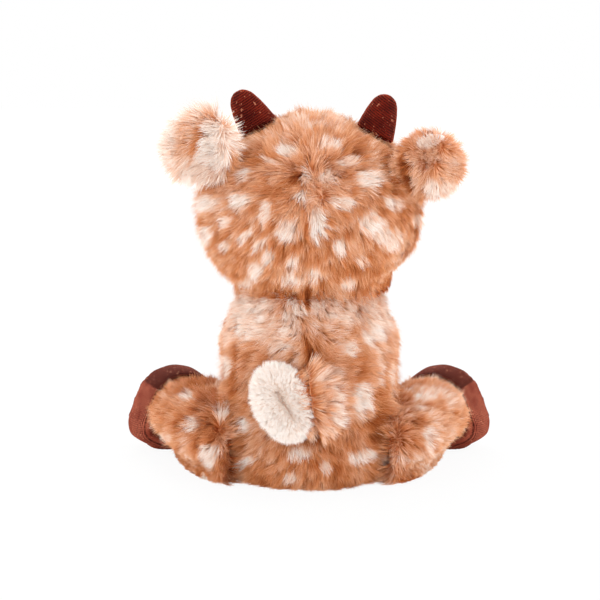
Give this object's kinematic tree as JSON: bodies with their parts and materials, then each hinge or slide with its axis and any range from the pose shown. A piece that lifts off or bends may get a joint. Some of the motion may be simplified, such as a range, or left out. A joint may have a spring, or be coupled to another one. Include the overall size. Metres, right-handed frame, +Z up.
{
  "type": "plush deer",
  "caption": "Sitting plush fawn with long spotted fur, velvet horns and hooves, round ears and a short tail; its head, legs, ears and tail flex at their seams.",
  "frame": {"origin": "middle of the body's flat seat, on the surface that the toy sits on", "axes": "+Z up, -Y the way the deer faces, +X to the deer's own left"},
  "size_m": [0.1908, 0.1347, 0.2009],
  "materials": {
    "spotted_fur": "matte",
    "cream_plush": "matte",
    "white_plush": "matte",
    "red_brown_velvet": "matte",
    "dark_plastic": "gloss",
    "washer_plastic": "matte",
    "polyester_fill": "matte",
    "bead_pouch": "matte"
  },
  "bodies": {
    "torso": {"body_cover": "spotted_fur", "body_filling": "polyester_fill", "bead_pouch": "bead_pouch"},
    "head": {"head_cover": "spotted_fur", "head_filling": "polyester_fill", "muzzle_cover": "cream_plush", "muzzle_filling": "polyester_fill", "nose": "dark_plastic", "nose_washer": "washer_plastic", "eye_left": "dark_plastic", "eye_washer_left": "washer_plastic", "eye_right": "dark_plastic", "eye_washer_right": "washer_plastic", "horn_cover_left": "red_brown_velvet", "horn_filling_left": "polyester_fill", "horn_cover_right": "red_brown_velvet", "horn_filling_right": "polyester_fill"},
    "tail": {"tail_outer": "spotted_fur", "tail_lining": "white_plush", "tail_filling": "polyester_fill"},
    "ear_left": {"ear_back_left": "spotted_fur", "ear_lining_left": "cream_plush", "ear_wadding_left": "polyester_fill"},
    "front_leg_left": {"front_leg_cover_left": "spotted_fur", "front_leg_hoof_left": "red_brown_velvet", "front_leg_sole_left": "red_brown_velvet", "front_leg_filling_left": "polyester_fill"},
    "hind_leg_left": {"hind_leg_cover_left": "spotted_fur", "hind_leg_hoof_left": "red_brown_velvet", "hind_leg_sole_left": "red_brown_velvet", "hind_leg_filling_left": "polyester_fill"},
    "ear_right": {"ear_back_right": "spotted_fur", "ear_lining_right": "cream_plush", "ear_wadding_right": "polyester_fill"},
    "front_leg_right": {"front_leg_cover_right": "spotted_fur", "front_leg_hoof_right": "red_brown_velvet", "front_leg_sole_right": "red_brown_velvet", "front_leg_filling_right": "polyester_fill"},
    "hind_leg_right": {"hind_leg_cover_right": "spotted_fur", "hind_leg_hoof_right": "red_brown_velvet", "hind_leg_sole_right": "red_brown_velvet", "hind_leg_filling_right": "polyester_fill"}
  },
  "joints": [
    {"name": "neck_turn", "type": "hinge", "parent": "torso", "child": "head", "pos_m": [0.0005, 0, 0.099], "axis": [0, 0, 1], "range_deg": [-30, 30], "stiffness_Nm_per_rad": 0.06},
    {"name": "tail_lift", "type": "hinge", "parent": "torso", "child": "tail", "pos_m": [0.0035, 0.04504, 0.067], "axis": [1, 0, 0], "range_deg": [0, 55], "stiffness_Nm_per_rad": 0.01},
    {"name": "ear_left_flap", "type": "hinge", "parent": "head", "child": "ear_left", "pos_m": [0.04079, 0.02354, 0.16736], "axis": [-0.5379, 0.2735, 0.7974], "range_deg": [-20, 20], "stiffness_Nm_per_rad": 0.008},
    {"name": "front_leg_left_lift", "type": "hinge", "parent": "torso", "child": "front_leg_left", "pos_m": [0.04245, -0.01715, 0.078], "axis": [-1, 0, 0], "range_deg": [0, 60], "stiffness_Nm_per_rad": 0.03},
    {"name": "hind_leg_left_swing", "type": "hinge", "parent": "torso", "child": "hind_leg_left", "pos_m": [0.0415, 0.011, 0.0215], "axis": [-1, 0, 0], "range_deg": [0, 15], "stiffness_Nm_per_rad": 0.06},
    {"name": "ear_right_flap", "type": "hinge", "parent": "head", "child": "ear_right", "pos_m": [-0.04943, 0.02354, 0.16139], "axis": [-0.4277, -0.285, -0.8578], "range_deg": [-20, 20], "stiffness_Nm_per_rad": 0.008},
    {"name": "front_leg_right_lift", "type": "hinge", "parent": "torso", "child": "front_leg_right", "pos_m": [-0.04245, -0.01715, 0.078], "axis": [-1, 0, 0], "range_deg": [0, 60], "stiffness_Nm_per_rad": 0.03},
    {"name": "hind_leg_right_swing", "type": "hinge", "parent": "torso", "child": "hind_leg_right", "pos_m": [-0.0415, 0.011, 0.0215], "axis": [-1, 0, 0], "range_deg": [0, 15], "stiffness_Nm_per_rad": 0.06}
  ]
}
